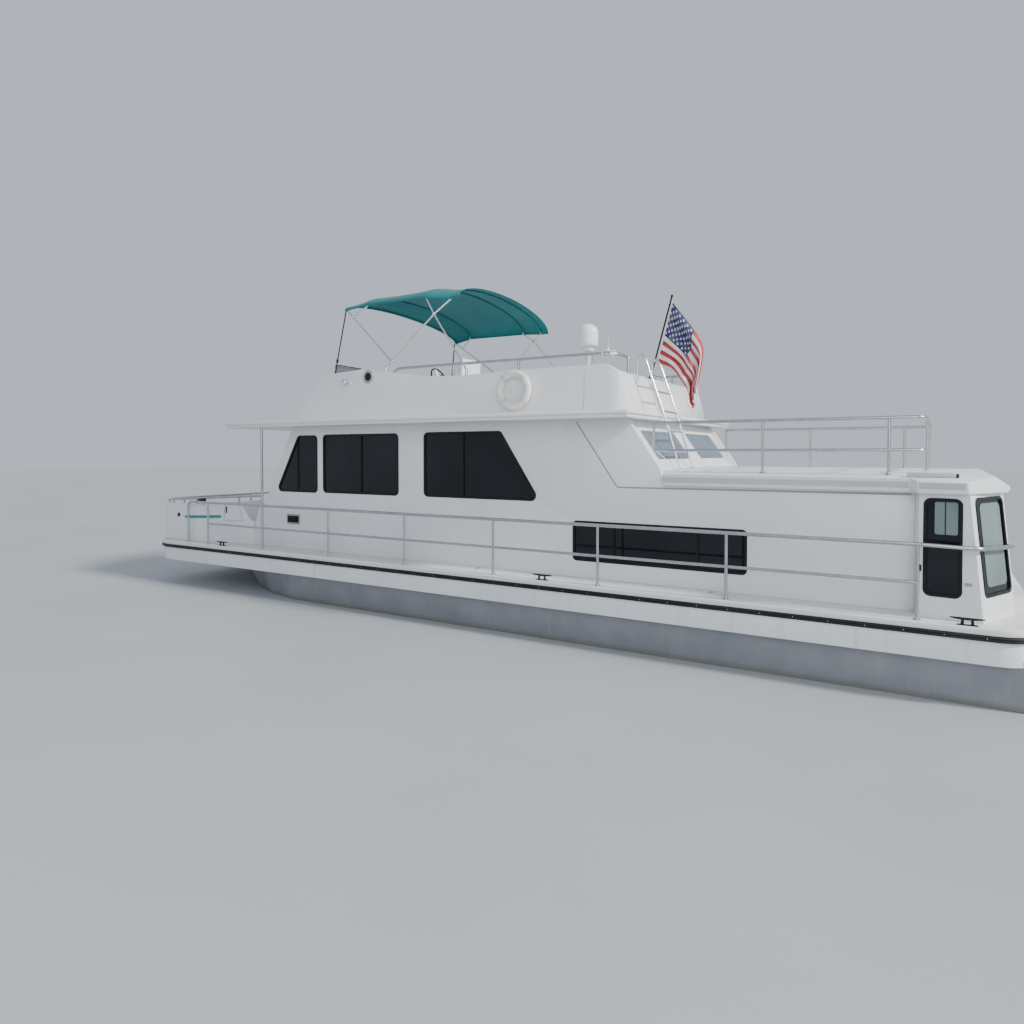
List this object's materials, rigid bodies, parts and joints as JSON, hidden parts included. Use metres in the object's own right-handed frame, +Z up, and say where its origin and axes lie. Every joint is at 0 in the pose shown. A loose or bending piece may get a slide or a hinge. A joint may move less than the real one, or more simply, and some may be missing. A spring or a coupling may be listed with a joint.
{
  "type": "houseboat",
  "caption": "Cabin houseboat with a semi-V hull, glazed saloon, sunken aft cabin, side decks with rails, flybridge with helm and folding top, shafts and rudders.",
  "frame": {"origin": "on the centreline at the water's surface, 6.45 m aft of the bow", "axes": "+X to the bow, +Y to port, +Z up"},
  "size_m": [13.1, 4.27, 5.5528],
  "materials": {
    "gelcoat": "white gelcoat, slightly dulled",
    "bottom": "grey painted bottom below a white band",
    "rubber": "black moulded rub rail",
    "glass": "dark tinted glass",
    "smoked_glass": "smoked acrylic",
    "steel": "polished stainless tube",
    "black_plastic": "black moulded grip",
    "vinyl": "off-white marine vinyl",
    "canvas": "teal woven acrylic canvas",
    "ring_foam": "white life ring",
    "flag_cloth": "printed polyester flag cloth",
    "bronze": "cast propeller bronze",
    "engine": "enamelled engine block",
    "wood": "varnished joinery"
  },
  "bodies": {
    "boat": {"hull": "bottom", "rub_rail": "rubber", "deck": "gelcoat", "swim_platform": "gelcoat", "bow_bulwark": "gelcoat", "cabin_side_port": "gelcoat", "cabin_side_starboard": "gelcoat", "stern_quarter_port": "gelcoat", "stern_quarter_starboard": "gelcoat", "stern_bulkhead": "gelcoat", "cabin_front": "gelcoat", "saloon_aft_bulkhead": "gelcoat", "saloon_roof": "gelcoat", "aft_roof": "gelcoat", "side_windows_port": "glass", "side_windows_starboard": "glass", "stern_windows_port": "glass", "stern_windows_starboard": "glass", "bulkhead_windows": "glass", "windshield_port": "glass", "windshield_starboard": "glass", "side_rail_port": "steel", "side_rail_starboard": "steel", "bow_rail": "steel", "aft_roof_rail": "steel", "flybridge": "gelcoat", "flybridge_windscreen": "smoked_glass", "flybridge_rail_port": "steel", "flybridge_rail_starboard": "steel", "helm_console": "gelcoat", "helm_seat": "gelcoat", "seat_cushion": "vinyl", "back_cushion": "vinyl", "bimini_frame": "steel", "bimini_canopy": "canvas", "radar_dome": "gelcoat", "life_ring": "ring_foam", "roof_ladder": "steel", "flag_staff": "black_plastic", "flag": "flag_cloth", "shaft_strut_port": "bronze", "shaft_strut_starboard": "bronze", "engine_port": "engine", "engine_starboard": "engine", "aft_berth": "wood", "galley": "wood", "settee": "wood"},
    "propeller_port": {"propeller_port": "bronze"},
    "propeller_starboard": {"propeller_starboard": "bronze"},
    "rudder_port": {"rudder_port": "bronze"},
    "rudder_starboard": {"rudder_starboard": "bronze"},
    "helm_wheel": {"helm_wheel": "black_plastic"},
    "stern_door": {"stern_door": "glass"},
    "front_door": {"front_door": "glass"},
    "locker_hatch": {"locker_hatch": "gelcoat"}
  },
  "joints": [
    {"name": "propeller_port_spin", "type": "hinge", "parent": "boat", "child": "propeller_port", "pos_m": [-5.2, 0.76, -0.68], "axis": [0.9874, 0, 0.158], "continuous": true},
    {"name": "propeller_starboard_spin", "type": "hinge", "parent": "boat", "child": "propeller_starboard", "pos_m": [-5.2, -0.76, -0.68], "axis": [0.9874, 0, 0.158], "continuous": true},
    {"name": "rudder_port_turn", "type": "hinge", "parent": "boat", "child": "rudder_port", "pos_m": [-5.72, 0.76, -0.4], "axis": [0, 0, 1], "range_deg": [-35, 35]},
    {"name": "rudder_starboard_turn", "type": "hinge", "parent": "boat", "child": "rudder_starboard", "pos_m": [-5.72, -0.76, -0.4], "axis": [0, 0, 1], "range_deg": [-35, 35]},
    {"name": "helm_wheel_turn", "type": "hinge", "parent": "boat", "child": "helm_wheel", "pos_m": [1.67, 0, 3.4], "axis": [0.9063, 0, -0.4226], "range_deg": [-540, 540]},
    {"name": "stern_door_slide", "type": "slide", "parent": "boat", "child": "stern_door", "axis": [0, -1, 0], "range_m": [0, 0.66]},
    {"name": "front_door_slide", "type": "slide", "parent": "boat", "child": "front_door", "axis": [0, 1, 0], "range_m": [0, 0.66]},
    {"name": "locker_hatch_hinge", "type": "hinge", "parent": "boat", "child": "locker_hatch", "pos_m": [5.25, 0, 0.7453], "axis": [0, -1, 0], "range_deg": [0, 100]}
  ],
  "couplings": [
    {"joint": "rudder_starboard_turn", "follows": "rudder_port_turn", "ratio": 1}
  ]
}
